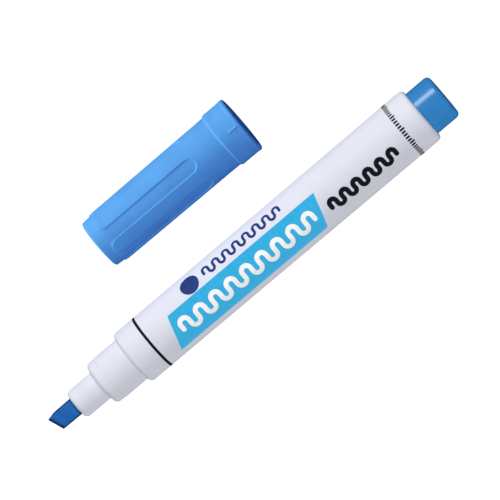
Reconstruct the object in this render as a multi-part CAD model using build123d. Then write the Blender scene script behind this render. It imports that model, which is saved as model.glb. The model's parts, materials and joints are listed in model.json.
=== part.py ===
"""A whiteboard marker with a chisel tip, and its push-on cap, off and lying beside it.

Millimetres. The pen lies along X with its tip towards -X. +Z is up, Z = 0 is the surface both pieces lie on,
and the origin is the middle of the ground that the pen and the cap cover together.
"""

from build123d import *
import math
import os

# Pen, from the tip back
NIB_WIDTH = 4.8
NIB_THICKNESS = 3.2
NIB_OUT = 7.55  # how far the tip stands out of the nose
NIB_LENGTH = 45.0
NIB_EDGE = 1.0  # thickness of the writing edge
NIB_BEVEL = 4.2  # how far the two bevels reach back from the writing edge
NIB_SLANT = 20.2  # degrees, between the writing edge and square across
NIB_CORNER = 0.9
NIB_DRAFT = 0.07  # how much narrower each side is at the writing edge than at the nose
NOSE_LENGTH = 7.95
NOSE_FRONT_R = 3.93
NOSE_ROOT_R = 4.0
COLLAR_LENGTH = 9.8
COLLAR_R = 6.15
COLLAR_LEAD_R = 6.05
COLLAR_LEAD_LENGTH = 2.6
INSERT_LENGTH = 9.0  # the part of the front section that is pressed into the barrel
BARREL_LENGTH = 92.3
BARREL_FRONT_R = 7.43
BARREL_REAR_R = 7.65
FRONT_BORE_R = 5.85
BARREL_BORE_R = 5.95
REAR_BORE_R = 6.0
PLUG_R = 6.2
PLUG_OUT = 7.0
PLUG_INSERT_LENGTH = 8.8
RESERVOIR_R = 5.4
RESERVOIR_LENGTH = 74.0
FILM = 0.15

# Cap, from its closed end to its mouth
CAP_LENGTH = 45.75
CAP_END_R = 6.55
CAP_TAPER_LENGTH = 3.8
CAP_R = 7.11  # on the raised ribs, where the taper of the closed end stops
CAP_STEP_R = 7.3  # on the body, where the mouth band starts
RIB_HEIGHT = 0.27
BAND_START_R = 7.73
BAND_LENGTH = 6.2
BAND_SLOPE_LENGTH = 0.58  # of the step from the body up to the band
LIP_R = 7.84  # of the raised lip round the mouth, the widest part of the cap
LIP_LENGTH = 1.05
LIP_RISE = 0.08  # how far the lip stands above the band
MOUTH_ROUNDING = 0.6
TICK_LENGTH = 2.5
TICK_WIDTH = 0.8
TICK_RISE = 0.15  # how far the middle of the raised line on the band stands above it
TICK_LEAN = 22  # degrees that its top leans towards +Y, like a saw tooth's
TICK_TURN = 2.2  # degrees from the middle of the groove behind it, towards +Y
GROOVES = 6
GROOVE_ANGLE = 27.0  # how much of the way round each groove's floor takes
GROOVE_SLOPE = 50  # of the groove's walls, in degrees from upright
GROOVE_END = 30.4  # from the closed end
RIB_TIP = 2.3  # from the closed end
RIB_TIP_R = 6.98
RIB_TIP_SLOPE = 42  # of the wall round each rib's tip, in degrees from upright
CAP_ROLL = 1.4  # degrees that the cap has rolled about its own axis, towards +Y
CAP_BORE_R = 6.25
CAP_BORE_LENGTH = 10.5
CAP_MOUTH_R = 6.65
CAP_INNER_R = 6.0
CAP_INNER_END_R = 5.7
CAP_WALL = 1.2
SEAL_BORE_R = 4.05
SEAL_R = 4.85
SEAL_LENGTH = 18.4

# Where the two stand
CAP_BESIDE = 26.3  # from the pen's axis to the cap's axis
CAP_FROM_TIP = 37.1  # from the pen's tip to the cap's closed end, along X

PEN_LENGTH = NIB_OUT + NOSE_LENGTH + COLLAR_LENGTH + BARREL_LENGTH + PLUG_OUT
TIP = -PEN_LENGTH / 2
NOSE_FRONT = TIP + NIB_OUT
COLLAR_FRONT = NOSE_FRONT + NOSE_LENGTH
SHOULDER = COLLAR_FRONT + COLLAR_LENGTH
INSERT_END = SHOULDER + INSERT_LENGTH
BARREL_END = SHOULDER + BARREL_LENGTH
PLUG_START = BARREL_END - PLUG_INSERT_LENGTH
PLUG_END = BARREL_END + PLUG_OUT
CAP_END = TIP + CAP_FROM_TIP
CAP_MOUTH = CAP_END + CAP_LENGTH
PEN_Y = (BARREL_REAR_R - LIP_R - CAP_BESIDE) / 2
CAP_Y = PEN_Y + CAP_BESIDE
PEN_AXIS = Pos(0, PEN_Y, BARREL_REAR_R)
CAP_AXIS = Pos(0, CAP_Y, LIP_R) * Rot(X=-CAP_ROLL)
BEYOND = 1.0  # how far a cutting tool runs past what it cuts


def turned(*corners):
    """A solid of revolution about X. Each corner is (x, radius) or (x, radius, rounding)."""
    face = make_face(Polyline(*[corner[:2] for corner in corners], close=True))
    for x, radius, rounding in [corner for corner in corners if len(corner) == 3]:
        vertex = face.vertices().sort_by_distance((x, radius, 0))[0]
        face = fillet(vertex, rounding)
    return revolve(face, Axis.X)


def bar(start, end, low, high, width):
    """A bar along X from start to end, between two heights above the axis."""
    centre = Pos((start + end) / 2, 0, (low + high) / 2)
    return centre * Box(end - start, width, high - low)


def around(tool, count, first=0.0):
    """Copies of a tool, evenly spaced round the X axis."""
    return [Rot(X=first + 360 / count * turn) * tool for turn in range(count)]


def cap_inner_r(x):
    """The radius of the cap's drafted inner wall, between its floor and the step behind its mouth."""
    floor = CAP_END + CAP_WALL
    step = CAP_MOUTH - CAP_BORE_LENGTH
    return CAP_INNER_END_R + (CAP_INNER_R - CAP_INNER_END_R) * (x - floor) / (step - floor)


def nib():
    """A flat bar of pressed fibre, cut to a slanted chisel edge at the front and to a blunt wedge at the back."""
    half_width = NIB_WIDTH / 2
    half_thickness = NIB_THICKNESS / 2
    section = Plane.YZ * RectangleRounded(NIB_WIDTH, NIB_THICKNESS, NIB_CORNER)
    blank = Pos(TIP, 0, 0) * extrude(section, NIB_LENGTH)
    edge_half_width = half_width - NIB_DRAFT
    corner_drop = 0.5
    corner_length = 2.2
    edge_run = (2 * edge_half_width - corner_drop) * math.tan(math.radians(NIB_SLANT))
    nose = TIP + NIB_OUT
    rear = TIP + NIB_LENGTH
    rear_taper = 2.5
    outline = make_face(
        Polyline(
            (TIP, edge_half_width - corner_drop),
            (TIP + corner_length, edge_half_width),
            (nose, half_width),
            (rear - rear_taper, half_width),
            (rear, half_width - corner_drop),
            (rear, corner_drop - half_width),
            (rear - rear_taper, -half_width),
            (nose, -half_width),
            (TIP + edge_run, -edge_half_width),
            close=True,
        )
    )
    outline = Pos(0, 0, -NIB_THICKNESS) * extrude(outline, 2 * NIB_THICKNESS)
    wedge = make_face(
        Polyline(
            (0, -NIB_EDGE / 2),
            (NIB_BEVEL, -half_thickness),
            (NIB_LENGTH + BEYOND, -half_thickness),
            (NIB_LENGTH + BEYOND, half_thickness),
            (NIB_BEVEL, half_thickness),
            (0, NIB_EDGE / 2),
            close=True,
        )
    )
    wedge = extrude(Plane.XZ * wedge, 10 * NIB_WIDTH, both=True)
    edge_start = Pos(TIP, edge_half_width - corner_drop, 0)
    return blank & outline & (edge_start * Rot(Z=NIB_SLANT) * wedge)


def front_section():
    """The nose and collar that hold the tip, in one moulding with the plug that is pressed into the barrel."""
    collar_start = COLLAR_FRONT + COLLAR_LEAD_LENGTH
    relief_r = FRONT_BORE_R - 0.2
    cavity_r = 4.8
    cavity_front = COLLAR_FRONT + 3.4
    outer = turned(
        (NOSE_FRONT, 0),
        (NOSE_FRONT, NOSE_FRONT_R, 1.0),
        (COLLAR_FRONT, NOSE_ROOT_R, 0.25),
        (COLLAR_FRONT, COLLAR_LEAD_R, 1.2),
        (collar_start, COLLAR_LEAD_R),
        (collar_start + 0.3, COLLAR_R),
        (SHOULDER, COLLAR_R),
        (SHOULDER, FRONT_BORE_R),
        (SHOULDER + 2.5, FRONT_BORE_R),
        (SHOULDER + 3.0, relief_r),
        (SHOULDER + 5.0, relief_r),
        (SHOULDER + 5.5, FRONT_BORE_R),
        (INSERT_END - 1.0, FRONT_BORE_R),
        (INSERT_END, relief_r),
        (INSERT_END, 0),
    )
    cavity = turned(
        (cavity_front, 0),
        (cavity_front, NIB_THICKNESS / 2 + 0.6),
        (cavity_front + 2.6, cavity_r),
        (INSERT_END + BEYOND, cavity_r),
        (INSERT_END + BEYOND, 0),
    )
    channel = bar(NOSE_FRONT - BEYOND, cavity_front + BEYOND, -NIB_THICKNESS / 2, NIB_THICKNESS / 2, NIB_WIDTH)
    channel = fillet(channel.edges().filter_by(Axis.X), NIB_CORNER)
    vent_width = 0.9
    vent_depth = 0.45
    vent = bar(NOSE_FRONT - BEYOND, cavity_front + BEYOND, 0, NIB_THICKNESS / 2 + vent_depth, vent_width)
    return outer - cavity - channel - around(vent, 2)


def barrel():
    """The white tube that is held and printed on, open at both ends, with ribs inside that centre the reservoir."""
    edge_rounding = 1.1
    rear_bore_start = PLUG_START - 0.5
    shell = turned(
        (SHOULDER, FRONT_BORE_R),
        (SHOULDER, BARREL_FRONT_R, edge_rounding),
        (BARREL_END, BARREL_REAR_R, edge_rounding),
        (BARREL_END, REAR_BORE_R),
        (rear_bore_start, REAR_BORE_R),
        (rear_bore_start, BARREL_BORE_R),
        (INSERT_END, BARREL_BORE_R),
        (INSERT_END, FRONT_BORE_R),
    )
    rib_start = INSERT_END + 1.5
    rib_end = rear_bore_start - 1.0
    rib = bar(rib_start, rib_end, RESERVOIR_R + FILM + 0.05, BARREL_BORE_R + 0.3, 0.8)
    return shell + around(rib, 6, first=30)


def reservoir(nib_solid):
    """The fibre rod that holds the ink, with the tip's back end pushed into it."""
    end = INSERT_END + RESERVOIR_LENGTH
    rod = turned((INSERT_END, 0), (INSERT_END, RESERVOIR_R), (end, RESERVOIR_R), (end, 0))
    return rod - nib_solid


def reservoir_film():
    """The thin plastic wrap round the fibre rod, open at both ends."""
    start = INSERT_END + 0.5
    end = INSERT_END + RESERVOIR_LENGTH - 0.5
    outer_r = RESERVOIR_R + FILM
    return turned((start, RESERVOIR_R), (start, outer_r), (end, outer_r), (end, RESERVOIR_R))


def end_plug():
    """The coloured plug that closes the barrel's rear end: a hollow cup with sealing rings and four inner ribs."""
    relief_r = REAR_BORE_R - 0.15
    cavity_r = 4.9
    floor = PLUG_END - 1.2
    dimple_r = 1.3
    dimple_depth = 0.3
    cup = turned(
        (PLUG_START, cavity_r),
        (PLUG_START, relief_r),
        (PLUG_START + 1.0, REAR_BORE_R),
        (PLUG_START + 2.6, REAR_BORE_R),
        (PLUG_START + 2.9, relief_r),
        (PLUG_START + 4.9, relief_r),
        (PLUG_START + 5.2, REAR_BORE_R),
        (BARREL_END, REAR_BORE_R),
        (BARREL_END, PLUG_R),
        (PLUG_END, PLUG_R, 1.2),
        (PLUG_END, dimple_r),
        (PLUG_END - dimple_depth, dimple_r / 2),
        (PLUG_END - dimple_depth, 0),
        (floor, 0),
        (floor, cavity_r),
    )
    rib = bar(PLUG_START, floor + 0.2, 3.2, cavity_r + 0.2, 0.8)
    return cup + around(rib, 4)


def rounded_bar(tip, end, width, base, slope):
    """A tool over the axis with a round end at tip. It starts at a height and spreads as it rises, or narrows."""
    half = width / 2
    away = 1 if end > tip else -1
    centre = tip + away * half
    round_end = Pos(centre, 0) * Circle(half)
    straight = Pos((centre + end) / 2, 0) * Rectangle(abs(end - centre), width)
    return extrude(Pos(0, 0, base) * (round_end + straight), LIP_R - base, taper=-slope)


def tick_mark():
    """A short raised line along the mouth band, near the top of the cap, up to the lip."""
    middle = CAP_MOUTH - LIP_LENGTH - TICK_LENGTH / 2
    depth = 1.0
    top = Pos(middle, 0, LIP_R - LIP_RISE + TICK_RISE) * Rot(X=-TICK_LEAN)
    return Rot(X=-TICK_TURN) * top * Pos(0, 0, -depth / 2) * Box(TICK_LENGTH, TICK_WIDTH, depth)


def cap_outside():
    """The cap's outer form: a drafted body with finger ribs between grooves, and a stronger band at the mouth."""
    band_start = CAP_MOUTH - BAND_LENGTH
    taper_end = CAP_END + CAP_TAPER_LENGTH
    lip_start = CAP_MOUTH - LIP_LENGTH
    lip_slope_length = 0.12
    floor_r = CAP_R - RIB_HEIGHT
    body = turned(
        (CAP_END, 0),
        (CAP_END, CAP_END_R, 0.75),
        (CAP_END + RIB_TIP, RIB_TIP_R),
        (taper_end, CAP_R),
        (band_start - BAND_SLOPE_LENGTH, CAP_STEP_R),
        (band_start, BAND_START_R, 0.3),
        (lip_start - lip_slope_length, LIP_R - LIP_RISE),
        (lip_start, LIP_R),
        (CAP_MOUTH, LIP_R, MOUTH_ROUNDING),
        (CAP_MOUTH, 0),
    )
    too_wide = 2 * LIP_R
    above_floor = turned(
        (CAP_END, CAP_END_R),
        (taper_end, floor_r),
        (band_start, floor_r + 0.07),
        (band_start, too_wide),
        (CAP_END, too_wide),
    )
    half_groove = math.radians(GROOVE_ANGLE / 2)
    half_rib = math.radians(180 / GROOVES) - half_groove
    base = 6.3
    spread = math.tan(math.radians(GROOVE_SLOPE))
    groove_width = 2 * (floor_r * math.sin(half_groove) - (floor_r * math.cos(half_groove) - base) * spread)
    groove = rounded_bar(CAP_END + GROOVE_END, CAP_END - 2 * CAP_TAPER_LENGTH, groove_width, base, GROOVE_SLOPE)
    rib_foot = floor_r * math.cos(half_rib)
    rib_spread = math.tan(math.radians(RIB_TIP_SLOPE))
    rib_width = 2 * (floor_r * math.sin(half_rib) + (rib_foot - base) * rib_spread)
    rib_tip = CAP_END + RIB_TIP - (rib_foot - base) * rib_spread
    ring_end = rib_tip + rib_width / 2
    rib = rounded_bar(rib_tip, ring_end + BEYOND, rib_width, base, -RIB_TIP_SLOPE)
    ring = turned((CAP_END, 0), (CAP_END, too_wide), (ring_end, too_wide), (ring_end, 0))
    between_ribs = ring - around(rib, GROOVES, first=180 / GROOVES)
    cuts = [above_floor & tool for tool in [between_ribs, *around(groove, GROOVES)]]
    return body - cuts + tick_mark()


def cap_shell():
    """The coloured cap, hollow, and opened out a little at its mouth."""
    step = CAP_MOUTH - CAP_BORE_LENGTH
    floor = CAP_END + CAP_WALL
    inside = turned(
        (floor, 0),
        (floor, CAP_INNER_END_R, 0.8),
        (step, CAP_INNER_R),
        (step, CAP_BORE_R),
        (CAP_MOUTH - 1.3, CAP_BORE_R),
        (CAP_MOUTH - 0.9, CAP_MOUTH_R - 0.15),
        (CAP_MOUTH, CAP_MOUTH_R),
        (CAP_MOUTH + BEYOND, CAP_MOUTH_R),
        (CAP_MOUTH + BEYOND, 0),
    )
    return cap_outside() - inside


def cap_seal():
    """The inner cup pressed into the cap, which closes round the nose so that the tip doesn't dry out."""
    flange = CAP_MOUTH - CAP_BORE_LENGTH - 0.1
    flange_back = flange - 1.5
    end = flange - SEAL_LENGTH
    wall_end = end + 0.9
    fit = 0.01
    cup = turned(
        (end, 0),
        (end, SEAL_R - 0.3, 0.5),
        (flange_back, SEAL_R),
        (flange_back, cap_inner_r(flange_back) - fit),
        (flange, cap_inner_r(flange) - fit),
        (flange, SEAL_BORE_R + 0.5),
        (flange - 0.9, SEAL_BORE_R),
        (wall_end, SEAL_BORE_R - 0.15, 0.5),
        (wall_end, 0),
    )
    fin = bar(end + 3.0, flange_back + 0.2, SEAL_R - 0.4, CAP_INNER_R - 0.2, 0.8)
    return cup + around(fin, 4, first=45)


def main():
    tip = nib()
    pen = {
        "chisel_nib": tip,
        "front_section": front_section(),
        "barrel": barrel(),
        "ink_reservoir": reservoir(tip),
        "reservoir_film": reservoir_film(),
        "end_plug": end_plug(),
    }
    cap = {"cap_shell": cap_shell(), "cap_inner_seal": cap_seal()}
    os.makedirs("parts", exist_ok=True)
    for place, pieces in ((PEN_AXIS, pen), (CAP_AXIS, cap)):
        for name, piece in pieces.items():
            export_step(place * piece, f"parts/{name}.step")


main()
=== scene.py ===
"""The looks of a whiteboard marker that lies with its cap off beside it.

Metres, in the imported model's frame: +X along the pen from its tip to its end plug, +Y from the pen to the
cap, +Z up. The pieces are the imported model's own, with new materials, and seven films of ink on the barrel.
"""

import json
import math

import bmesh
import bpy
from mathutils import Matrix, Vector


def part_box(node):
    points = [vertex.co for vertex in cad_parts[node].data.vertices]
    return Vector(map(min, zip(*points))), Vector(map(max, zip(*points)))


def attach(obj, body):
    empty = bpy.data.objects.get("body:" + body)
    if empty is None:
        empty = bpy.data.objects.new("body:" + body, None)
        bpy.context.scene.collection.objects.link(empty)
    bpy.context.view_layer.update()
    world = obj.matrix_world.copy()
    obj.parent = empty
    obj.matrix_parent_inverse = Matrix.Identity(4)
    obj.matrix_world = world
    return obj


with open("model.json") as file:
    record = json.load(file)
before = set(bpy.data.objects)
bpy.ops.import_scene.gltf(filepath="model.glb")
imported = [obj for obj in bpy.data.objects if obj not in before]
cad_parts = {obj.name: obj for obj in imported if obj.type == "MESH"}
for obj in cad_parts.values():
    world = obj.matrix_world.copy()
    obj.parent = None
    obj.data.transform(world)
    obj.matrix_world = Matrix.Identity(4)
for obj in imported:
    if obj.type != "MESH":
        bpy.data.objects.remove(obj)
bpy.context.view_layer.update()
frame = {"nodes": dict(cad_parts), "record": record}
NODES = frame["nodes"]
MM = 0.001

# Camera: high above the objects, a little towards the pen's end plug, and turned about its own axis
CAMERA_BEYOND = 88 * MM  # how much nearer the end plug it stands than what it aims at
CAMERA_HEIGHT = 1.25
SENSOR_WIDTH = 36.0  # mm
CAMERA_LENS = 369.5  # mm
CAMERA_TURN = math.radians(40.15)  # so that the pen rises to the right in the picture
AIM = Vector((2.1 * MM, -11.57 * MM, 7.7 * MM))

# The pen, from the frame. Its axis runs along X.
BARREL_LOW, BARREL_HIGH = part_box("barrel")
SHOULDER = BARREL_LOW.x
BARREL_END = BARREL_HIGH.x
BARREL_FRONT_R = 7.43 * MM
BARREL_REAR_R = 7.65 * MM
PEN_AXIS = Vector((0, (BARREL_LOW.y + BARREL_HIGH.y) / 2, BARREL_REAR_R))
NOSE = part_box("front_section")[0].x
NIB_LOW, NIB_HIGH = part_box("chisel_nib")
NIB_SLANT = math.radians(20.2)  # between the writing edge and square across
NIB_CORNER = 0.57 * MM  # how far in from the nib's side its foremost point is
NIB_EDGE_DARK = 0.3 * MM  # how far in the nib is as dark as at its edges
NIB_EDGE_REACH = 1.1 * MM  # and how far in it is as light as in the middle

# Colours of the plastics, the fibre and the inks, linear, and how the white plastic is finished
WHITE_PLASTIC = (0.696, 0.709, 0.796)
WHITE_ROUGHNESS = (0.5, 0.62)
WHITE_GLOSS = 0.15
WHITE_MOTTLE = 0.012
NIB_BLUE = (0.026, 0.15, 0.50)
NIB_DARK_BLUE = (0.012, 0.11, 0.40)
# the nib's dark rim: partly ink soaked into the fibre, partly painted shade where its edges turn from the
# light and at its join with the nose
NIB_EDGE_INK_AND_SHADE_BLUE = (0.003, 0.018, 0.07)
PLUG_BLUE = (0.031, 0.215, 0.54)
# painted fill light: the plug's colour down its shaded -Y side, paler than its own blue
PLUG_PAINTED_FILL_BLUE = (0.034, 0.29, 0.70)
CAP_BLUE = (0.088, 0.3, 0.64)
INK_BLACK = (0.008, 0.009, 0.014)
INK_NAVY = (0.019, 0.042, 0.185)
INK_BLUE = (0.03, 0.40, 0.70)
# painted fill light: the blue ink's colour down the barrel's shaded -Y side, paler than the ink
INK_PAINTED_FILL_BLUE = (0.06, 0.53, 0.93)
INK_WHITE = (0.96, 0.965, 0.98)
PAINTED_FILL_FROM = 0.3  # where painted fill light starts to make the blue ink and the plug paler, in barrel radii from the axis to +Y
PAINTED_FILL_TO = -0.8  # and where the painted fill light is strongest, so they are palest

# Print on the barrel. Places along it are in mm from the shoulder, and places round it in degrees from the
# top towards +Y. Widths and heights are in mm on its surface.
PRINT_STANDS_OUT = 0.02  # of the barrel's surface
PRINT_SINKS_IN = 0.03  # so that it has no gap under it
CUT_EVERY_ANGLE = 3.0  # how finely the print is cut to follow the barrel, round it
CUT_EVERY_LENGTH = 4.0  # and along it
ROUND_END_STEPS = 8
BEND_STEPS = 10
DOT_STEPS = 48
RING_AT = 6.24
RING_WIDTH = 0.7
PANEL_TOP = 18.3
PANEL_BOTTOM = -55.1
PANEL_TOP_START = 13.95
PANEL_BOTTOM_START = 11.05
PANEL_LENGTH = 46.3
WHITE_WAVE = {"start": 14.4, "end": 57.1, "middle": -16.6, "height": 4.9, "width": 1.2, "bends": 17}
NAVY_WAVE = {"start": 26.9, "end": 51.5, "middle": 39.3, "height": 3.2, "width": 0.72, "bends": 15}
BLACK_WAVE = {"start": 60.8, "end": 82.3, "middle": -22.9, "height": 4.0, "width": 1.2, "bends": 11}
DOT_AT = (22.8, 39.6)
DOT_SIZE = 5.2
MARKS_AT = 86.4
MARK_LENGTH = 1.4
SHORT_MARK = 0.8  # of a long one
LONG_EVERY = 5
MARK_SHARE = 0.58  # of the way from one mark to the next that is black
MARKS = 60

# Light. Each body has its own lamps, so that it is lit as if it lay alone. A lamp is the direction it shines
# from, its size along the pen and across it, and its brightness, relative to what makes white paper white.
# The bounce is light that the table sends back up, so its lamp is below the floor, which doesn't shade it.
LAMP_DISTANCE = 1.6
LAMPS = {
    "pen": {
        "key": ((0, 0.766, 0.643), (1.5, 0.6), 7.9),
        "side": ((0, 0.985, 0.174), (1.5, 0.86), 1.8),
        "fill": ((0, -0.906, 0.423), (1.5, 1.4), 2.4),
        "top": ((0, 0, 1), (1.4, 2.2), 0.6),
        "bounce": ((0, -0.93, -0.37), (1.5, 0.8), 1.5),
        "front": ((-1, 0, 0.3), (0.8, 0.8), 1.5),
        "rear": ((1, 0, 0.3), (0.8, 0.8), 1.5),
    },
    "cap": {
        "key": ((-0.5, 0.766, 0.643), (1.5, 0.6), 2.5),
        "side": ((-0.5, 0.985, 0.174), (1.5, 0.86), 6.0),
        "fill": ((-0.5, -0.906, 0.423), (1.5, 1.4), 1.2),
        "top": ((-0.35, 0.15, 0.93), (1.4, 2.0), 2.25),
        "front": ((-1, 0, 0.25), (0.8, 0.8), 3.6),
        "rear": ((1, 0, 0.3), (0.8, 0.8), 4.0),
    },
}
LAMP_COLOURS = {"fill_cap": (0.1, 0.25, 1.0), "rear_cap": (0.1, 0.2, 1.0)}  # the others are white
FLOOR_LAMP = ((0, 0.1, 1), (2.4, 2.4), 0.4)
GIVES_HIGHLIGHTS = ("key",)
AMBIENT = 0.04
FLOOR_GLOW = 0.95
FLOOR_HALF_WIDTH = 8.0


def make_camera():
    data = bpy.data.cameras.new("camera")
    data.sensor_width = SENSOR_WIDTH
    data.lens = CAMERA_LENS
    data.clip_start = 0.05
    data.clip_end = 20.0
    camera = bpy.data.objects.new("camera", data)
    bpy.context.scene.collection.objects.link(camera)
    place = Vector((AIM.x + CAMERA_BEYOND, AIM.y, CAMERA_HEIGHT))
    back = (place - AIM).normalized()
    right = Vector((math.cos(CAMERA_TURN), -math.sin(CAMERA_TURN), 0))
    right = (right - back * right.dot(back)).normalized()
    up = back.cross(right)
    turn = Matrix((right, up, back)).transposed()
    camera.matrix_world = Matrix.Translation(place) @ turn.to_4x4()
    bpy.context.scene.camera = camera


# ---- materials ----


def new_material(name):
    made = bpy.data.materials.new(name)
    made.use_nodes = True
    return made, made.node_tree, made.node_tree.nodes["Principled BSDF"]


def position(tree, stretch=(1, 1, 1)):
    """The point on the surface, in the model's own frame, with each axis scaled by stretch."""
    place = tree.nodes.new("ShaderNodeTexCoord")
    mapping = tree.nodes.new("ShaderNodeMapping")
    mapping.inputs["Scale"].default_value = stretch
    tree.links.new(place.outputs["Object"], mapping.inputs["Vector"])
    return mapping.outputs["Vector"]


def noise(tree, per_metre, detail, stretch=(1, 1, 1)):
    """A cloudy value around 0.5, with about per_metre clouds in a metre. A stretch under 1 draws them out."""
    texture = tree.nodes.new("ShaderNodeTexNoise")
    texture.inputs["Scale"].default_value = per_metre
    texture.inputs["Detail"].default_value = detail
    tree.links.new(position(tree, stretch), texture.inputs["Vector"])
    return texture.outputs["Fac"]


def spread(tree, value, start, end, low=0.0, high=1.0):
    """Turns values from start to end into values from low to high, and holds them beyond the two ends."""
    ranged = tree.nodes.new("ShaderNodeMapRange")
    ranged.inputs["From Min"].default_value = start
    ranged.inputs["From Max"].default_value = end
    ranged.inputs["To Min"].default_value = low
    ranged.inputs["To Max"].default_value = high
    tree.links.new(value, ranged.inputs["Value"])
    return ranged.outputs["Result"]


def maths(tree, operation, first, second):
    node = tree.nodes.new("ShaderNodeMath")
    node.operation = operation
    for socket, value in zip(node.inputs, (first, second)):
        if isinstance(value, (int, float)):
            socket.default_value = value
        else:
            tree.links.new(value, socket)
    return node.outputs["Value"]


def blend_colours(tree, value, first, second):
    mix = tree.nodes.new("ShaderNodeMix")
    mix.data_type = "RGBA"
    for name, colour in (("A", first), ("B", second)):
        if isinstance(colour, tuple):
            mix.inputs[name].default_value = (*colour, 1)
        else:
            tree.links.new(colour, mix.inputs[name])
    tree.links.new(value, mix.inputs["Factor"])
    return mix.outputs["Result"]


def shade(colour, factor):
    return tuple(min(1.0, channel * factor) for channel in colour)


def bump(tree, shader, heights):
    """Adds height textures, each (value, depth in mm), one after the other."""
    normal = None
    for value, depth in heights:
        node = tree.nodes.new("ShaderNodeBump")
        node.inputs["Strength"].default_value = 1.0
        node.inputs["Distance"].default_value = depth * MM
        tree.links.new(value, node.inputs["Height"])
        if normal:
            tree.links.new(normal, node.inputs["Normal"])
        normal = node.outputs["Normal"]
    tree.links.new(normal, shader.inputs["Normal"])


def painted_fill_below(tree, base, painted_fill_colour):
    """Painted fill light: blends a colour into a paler one from the top of the pen down its shaded side
    towards -Y.
    """
    split = tree.nodes.new("ShaderNodeSeparateXYZ")
    tree.links.new(position(tree), split.inputs["Vector"])
    start = PEN_AXIS.y + PAINTED_FILL_FROM * BARREL_FRONT_R
    end = PEN_AXIS.y + PAINTED_FILL_TO * BARREL_FRONT_R
    down = spread(tree, split.outputs["Y"], start, end)
    return blend_colours(tree, down, base, painted_fill_colour)


def plastic(name, colour, rough, grain_depth=0.003, gloss=0.5, mottle=0.04, painted_fill_colour=None):
    """Moulded plastic: a faintly clouded colour, a fine grain, flow lines along X and rubbed patches.

    rough is the roughness where it is rubbed least and most, and grain_depth is in mm. A painted fill colour
    is painted fill light, blended in down the shaded -Y side.
    """
    made, tree, shader = new_material(name)
    shader.inputs["Specular IOR Level"].default_value = gloss
    clouds = spread(tree, noise(tree, per_metre=180, detail=4), 0.35, 0.65)
    flow = spread(tree, noise(tree, per_metre=420, detail=2, stretch=(0.06, 1, 1)), 0.35, 0.65)
    base = blend_colours(tree, clouds, shade(colour, 1 - mottle), shade(colour, 1 + mottle))
    base = blend_colours(tree, maths(tree, "MULTIPLY", flow, 0.35), base, shade(colour, 1 + mottle))
    # painted fill light: paler down the shaded -Y side
    if painted_fill_colour:
        base = painted_fill_below(tree, base, painted_fill_colour)
    tree.links.new(base, shader.inputs["Base Color"])
    rubbed = spread(tree, noise(tree, per_metre=300, detail=6, stretch=(0.3, 1, 1)), 0.42, 0.7, *rough)
    tree.links.new(rubbed, shader.inputs["Roughness"])
    grain = noise(tree, per_metre=3800, detail=2)
    flow_lines = noise(tree, per_metre=500, detail=2, stretch=(0.05, 1, 1))
    bump(tree, shader, [(grain, grain_depth), (flow_lines, 0.004)])
    return made


def glow_through(made, share, reach):
    """Lets a share of the light into the plastic, which comes out again up to reach mm away."""
    shader = made.node_tree.nodes["Principled BSDF"]
    shader.inputs["Subsurface Weight"].default_value = share
    shader.inputs["Subsurface Radius"].default_value = (1, 1, 1)
    shader.inputs["Subsurface Scale"].default_value = reach * MM


def white_plastic(name, grain_depth):
    return plastic(name, WHITE_PLASTIC, WHITE_ROUGHNESS, grain_depth, WHITE_GLOSS, WHITE_MOTTLE)


def nib_edge_ink_and_shade(tree):
    """1 at the nib's slanted writing edge, at its two sides and at the nose, and 0 well inside. It masks the
    dark rim, which is partly soaked ink and partly painted shade at the edges and at the join with the nose.
    """
    split = tree.nodes.new("ShaderNodeSeparateXYZ")
    tree.links.new(position(tree), split.inputs["Vector"])
    slant = math.tan(NIB_SLANT)
    slanted = maths(tree, "ADD", split.outputs["X"], maths(tree, "MULTIPLY", split.outputs["Y"], slant))
    start = NIB_LOW.x + (NIB_HIGH.y - NIB_CORNER) * slant
    edge = spread(tree, slanted, start + NIB_EDGE_DARK, start + NIB_EDGE_REACH, 1, 0)
    for axis, limit, inward in (("Y", NIB_HIGH.y, -1), ("Y", NIB_LOW.y, 1), ("X", NOSE, -1)):
        darkest = limit + inward * NIB_EDGE_DARK / 2
        lightest = limit + inward * NIB_EDGE_REACH / 2
        edge = maths(tree, "MAXIMUM", edge, spread(tree, split.outputs[axis], darkest, lightest, 1, 0))
    return edge


def fibre(name, colour, dark, per_metre, edge=None):
    """Pressed fibre soaked in ink, with streaks along X. The nib's outline has the edge colour, which is
    partly soaked ink and partly painted shade.
    """
    made, tree, shader = new_material(name)
    shader.inputs["Specular IOR Level"].default_value = 0.03
    streaks = spread(tree, noise(tree, per_metre, detail=4, stretch=(0.12, 1, 1)), 0.3, 0.7)
    clouds = spread(tree, noise(tree, per_metre=350, detail=3), 0.3, 0.7)
    wet = maths(tree, "MULTIPLY", maths(tree, "ADD", streaks, clouds), 0.5)
    base = blend_colours(tree, wet, dark, colour)
    # the dark rim: partly soaked ink, partly painted shade
    if edge:
        base = blend_colours(tree, nib_edge_ink_and_shade(tree), base, edge)
    tree.links.new(base, shader.inputs["Base Color"])
    tree.links.new(spread(tree, streaks, 0, 1, 0.62, 0.85), shader.inputs["Roughness"])
    fuzz = noise(tree, per_metre=9000, detail=2)
    bump(tree, shader, [(streaks, 0.03), (fuzz, 0.008)])
    return made


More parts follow.
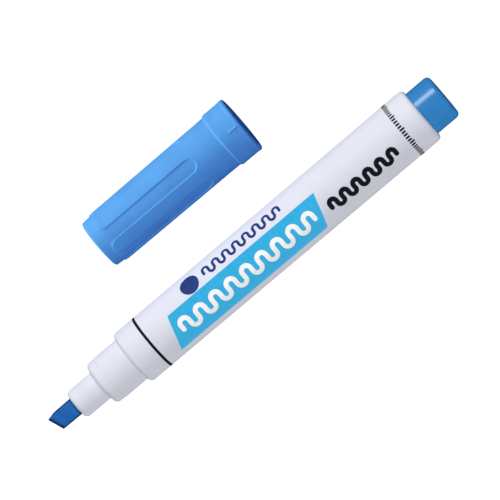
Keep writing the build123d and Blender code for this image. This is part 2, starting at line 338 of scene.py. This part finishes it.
def ink(name, colour, painted_fill_colour=None):
    """Printed ink, a thin film of slightly uneven cover. Painted fill light can make it paler down the
    barrel's shaded -Y side.
    """
    made, tree, shader = new_material(name)
    shader.inputs["Specular IOR Level"].default_value = 0.06
    cover = spread(tree, noise(tree, per_metre=900, detail=5), 0.3, 0.6)
    base = blend_colours(tree, cover, shade(colour, 0.93), shade(colour, 1.04))
    # painted fill light: paler down the barrel's shaded -Y side
    if painted_fill_colour:
        base = painted_fill_below(tree, base, painted_fill_colour)
    tree.links.new(base, shader.inputs["Base Color"])
    dried = spread(tree, noise(tree, per_metre=700, detail=4), 0.35, 0.65, 0.45, 0.6)
    tree.links.new(dried, shader.inputs["Roughness"])
    pores = noise(tree, per_metre=5200, detail=3)
    bump(tree, shader, [(pores, 0.002)])
    return made


def paint(node, made):
    """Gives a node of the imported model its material."""
    for slot in NODES[node].material_slots:
        slot.material = made


def paint_pen():
    paint("barrel", white_plastic("barrel_white", 0.002))
    paint("front_section", white_plastic("front_white", 0.003))
    # the nib's dark rim is partly soaked ink and partly painted shade
    paint("chisel_nib", fibre("nib_blue", NIB_BLUE, NIB_DARK_BLUE, per_metre=2600, edge=NIB_EDGE_INK_AND_SHADE_BLUE))
    paint("ink_reservoir", fibre("reservoir_fibre", (0.03, 0.16, 0.5), (0.012, 0.09, 0.36), per_metre=1800))
    paint("reservoir_film", plastic("film_clear", (0.7, 0.75, 0.8), (0.1, 0.2)))
    # the plug's paler -Y side is painted fill light; glow_through lets real light through the plastic
    plug = plastic("plug_blue", PLUG_BLUE, (0.18, 0.24), 0.0006, mottle=0.05, painted_fill_colour=PLUG_PAINTED_FILL_BLUE)
    glow_through(plug, share=0.3, reach=2.0)
    paint("end_plug", plug)


def paint_cap():
    paint("cap_shell", plastic("cap_blue", CAP_BLUE, (0.5, 0.6), 0.004, gloss=0.04, mottle=0.05))
    paint("cap_inner_seal", plastic("seal_natural", (0.5, 0.6, 0.72), (0.35, 0.5)))


# ---- print ----


def turned_up(x, angle, lift):
    """The point on the barrel x mm from the shoulder, at an angle from the top, lift mm off its surface."""
    along = x * MM / (BARREL_END - SHOULDER)
    radius = BARREL_FRONT_R + (BARREL_REAR_R - BARREL_FRONT_R) * along + lift * MM
    turn = math.radians(angle)
    return PEN_AXIS + Vector((SHOULDER + x * MM, radius * math.sin(turn), radius * math.cos(turn)))


def arc_to_angle(length):
    middle_r = (BARREL_FRONT_R + BARREL_REAR_R) / 2 / MM
    return math.degrees(length / middle_r)


def band(line, width):
    """The outline of a stroke with round ends along a line of points, all in mm."""
    points = [Vector(point) for point in line]
    sides = ([], [])
    for i, point in enumerate(points):
        ahead = points[min(i + 1, len(points) - 1)] - points[max(i - 1, 0)]
        across = Vector((-ahead.y, ahead.x)).normalized() * width / 2
        sides[0].append(point - across)
        sides[1].append(point + across)
    outline = []
    for side, end in ((sides[0], points[-1]), (sides[1][::-1], points[0])):
        outline += side
        spoke = side[-1] - end
        for step in range(1, ROUND_END_STEPS):
            turn = Matrix.Rotation(math.pi * step / ROUND_END_STEPS, 2)
            outline.append(end + turn @ spoke)
    return [tuple(point) for point in outline]


def wave(start, end, middle, height, width, bends):
    """A wavy marker stroke along the barrel, in half circles joined by straight legs."""
    bend_r = (end - start - width) / (2 * bends)
    leg = (height - width) / 2 - bend_r
    line = [(start + width / 2, -leg)]
    for bend in range(bends):
        side = 1 if bend % 2 == 0 else -1
        centre = start + width / 2 + bend_r * (2 * bend + 1)
        for step in range(BEND_STEPS + 1):
            turn = math.pi * step / BEND_STEPS
            line.append((centre - bend_r * math.cos(turn), side * (leg + bend_r * math.sin(turn))))
    line.append((end - width / 2, -side * leg))
    return [(x, middle + arc_to_angle(y)) for x, y in band(line, width)]


def disc(middle_x, middle_angle, size):
    points = []
    for step in range(DOT_STEPS):
        turn = 2 * math.pi * step / DOT_STEPS
        x = middle_x + size / 2 * math.cos(turn)
        points.append((x, middle_angle + arc_to_angle(size / 2 * math.sin(turn))))
    return points


def bar(start, end, low, high):
    return [(start, low), (end, low), (end, high), (start, high)]


def panel():
    slant = PANEL_TOP_START - PANEL_BOTTOM_START
    return [
        (PANEL_BOTTOM_START, PANEL_BOTTOM),
        (PANEL_BOTTOM_START + PANEL_LENGTH, PANEL_BOTTOM),
        (PANEL_BOTTOM_START + PANEL_LENGTH + slant, PANEL_TOP),
        (PANEL_TOP_START, PANEL_TOP),
    ]


def flat_faces(outlines):
    """Fills outlines of (x, angle) and cuts them finely enough to be wrapped round the barrel."""
    flat = bmesh.new()
    for outline in outlines:
        flat.faces.new([flat.verts.new((x, angle, 0)) for x, angle in outline]).normal_update()
    bmesh.ops.triangulate(flat, faces=flat.faces)
    angles = [vert.co.y for vert in flat.verts]
    lengths = [vert.co.x for vert in flat.verts]
    across = (angles, Vector((0, 1, 0)), CUT_EVERY_ANGLE)
    along = (lengths, Vector((1, 0, 0)), CUT_EVERY_LENGTH)
    for values, axis, step in (across, along):
        cut = math.ceil(min(values) / step) * step
        while cut < max(values):
            everything = flat.verts[:] + flat.edges[:] + flat.faces[:]
            bmesh.ops.bisect_plane(flat, geom=everything, plane_co=axis * cut, plane_no=axis, dist=1e-5)
            cut += step
    for face in flat.faces:
        if face.normal.z < 0:
            face.normal_flip()
    return flat


def print_on_barrel(name, outlines, made, lift=PRINT_STANDS_OUT):
    """A closed film of ink over each outline, wrapped round the barrel and riding with the pen."""
    flat = flat_faces(outlines)
    flat.verts.index_update()
    count = len(flat.verts)
    places = [turned_up(vert.co.x, vert.co.y, lift) for vert in flat.verts]
    places += [turned_up(vert.co.x, vert.co.y, -PRINT_SINKS_IN) for vert in flat.verts]
    faces = []
    for face in flat.faces:
        ring = [vert.index for vert in face.verts]
        faces.append(ring)
        faces.append([index + count for index in reversed(ring)])
    sheet_faces = len(faces)
    for edge in flat.edges:
        if edge.is_boundary:
            loop = edge.link_loops[0]
            first = loop.vert.index
            second = loop.link_loop_next.vert.index
            faces.append([second, first, first + count, second + count])
    flat.free()
    mesh = bpy.data.meshes.new(name)
    mesh.from_pydata(places, [], faces)
    mesh.validate()
    for index, face in enumerate(mesh.polygons):
        face.use_smooth = index < sheet_faces
    mesh.set_sharp_from_angle(angle=math.radians(30))
    mesh.materials.append(made)
    piece = bpy.data.objects.new(name, mesh)
    bpy.context.scene.collection.objects.link(piece)
    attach(piece, "pen")
    return piece


def mark_bars():
    """The short marks in a ring round the barrel's rear end. Every fifth one is longer."""
    pitch = 360 / MARKS
    start = MARKS_AT - MARK_LENGTH / 2
    bars = []
    for mark in range(MARKS):
        reach = MARK_LENGTH if mark % LONG_EVERY == 0 else SHORT_MARK * MARK_LENGTH
        bars.append(bar(start, start + reach, mark * pitch, (mark + MARK_SHARE) * pitch))
    return bars


def print_barrel():
    black = ink("ink_black", INK_BLACK)
    navy = ink("ink_navy", INK_NAVY)
    # the blue ink's paler -Y side is painted fill light
    blue = ink("ink_blue", INK_BLUE, painted_fill_colour=INK_PAINTED_FILL_BLUE)
    white = ink("ink_white", INK_WHITE)
    third = 120
    ring = [bar(RING_AT, RING_AT + RING_WIDTH, start, start + third) for start in range(0, 360, third)]
    return [
        print_on_barrel("print_ring", ring, black),
        print_on_barrel("print_panel", [panel()], blue),
        print_on_barrel("print_panel_wave", [wave(**WHITE_WAVE)], white, 2 * PRINT_STANDS_OUT),
        print_on_barrel("print_navy_wave", [wave(**NAVY_WAVE)], navy),
        print_on_barrel("print_navy_dot", [disc(*DOT_AT, DOT_SIZE)], navy),
        print_on_barrel("print_black_wave", [wave(**BLACK_WAVE)], black),
        print_on_barrel("print_marks", mark_bars(), black),
    ]


# ---- floor and light ----


def make_floor():
    mesh = bpy.data.meshes.new("floor")
    half = FLOOR_HALF_WIDTH
    corners = [(-half, -half, 0), (half, -half, 0), (half, half, 0), (-half, half, 0)]
    mesh.from_pydata(corners, [], [(0, 1, 2, 3)])
    floor = bpy.data.objects.new("floor", mesh)
    bpy.context.scene.collection.objects.link(floor)
    made, tree, shader = new_material("pale_floor")
    shader.inputs["Roughness"].default_value = 0.9
    shader.inputs["Specular IOR Level"].default_value = 0.1
    shader.inputs["Emission Color"].default_value = (1, 1, 1, 1)
    shader.inputs["Emission Strength"].default_value = FLOOR_GLOW
    clouds = noise(tree, per_metre=6, detail=2)
    tone = blend_colours(tree, clouds, (0.95, 0.95, 0.955), (0.93, 0.93, 0.935))
    tree.links.new(tone, shader.inputs["Base Color"])
    mesh.materials.append(made)
    floor.visible_diffuse = False
    floor.visible_glossy = False
    return floor


def group(name, pieces):
    """A collection for lamps to name what they light. It isn't in the scene itself."""
    made = bpy.data.collections.new(name)
    for piece in pieces:
        made.objects.link(piece)
    return made


def soft_box(name, towards, size, brightness, lit, shades):
    """A rectangular lamp that faces the objects. It lights one group, and the other casts its shadows."""
    data = bpy.data.lights.new(name, "AREA")
    data.shape = "RECTANGLE"
    data.size, data.size_y = size
    data.energy = brightness * math.pi * size[0] * size[1]
    data.color = LAMP_COLOURS.get(name, (1, 1, 1))
    lamp = bpy.data.objects.new(name, data)
    bpy.context.scene.collection.objects.link(lamp)
    lamp.location = Vector(towards).normalized() * LAMP_DISTANCE
    lamp.rotation_euler = (-lamp.location).to_track_quat("-Z", "Y").to_euler()
    lamp.visible_camera = False
    lamp.light_linking.receiver_collection = lit
    lamp.light_linking.blocker_collection = shades
    return lamp


def light_scene(floor, bodies):
    world = bpy.data.worlds.new("studio")
    world.use_nodes = True
    background = world.node_tree.nodes["Background"]
    background.inputs["Color"].default_value = (1, 1, 1, 1)
    background.inputs["Strength"].default_value = AMBIENT
    bpy.context.scene.world = world
    for body, pieces in bodies.items():
        lit = group(f"{body}_pieces", pieces)
        for name, (towards, size, brightness) in LAMPS[body].items():
            lamp = soft_box(f"{name}_{body}", towards, size, brightness, lit, lit)
            lamp.visible_glossy = name in GIVES_HIGHLIGHTS
    everything = [piece for pieces in bodies.values() for piece in pieces]
    soft_box("floor_lamp", *FLOOR_LAMP, group("ground", [floor]), group("all", everything))
    bpy.context.scene.view_settings.view_transform = "Standard"


make_camera()
paint_pen()
paint_cap()
prints = print_barrel()
body_nodes = frame["record"]["behaviour"]["bodies"]
bodies = {body: [NODES[node] for node in nodes] for body, nodes in body_nodes.items()}
bodies["pen"] += prints
light_scene(make_floor(), bodies)
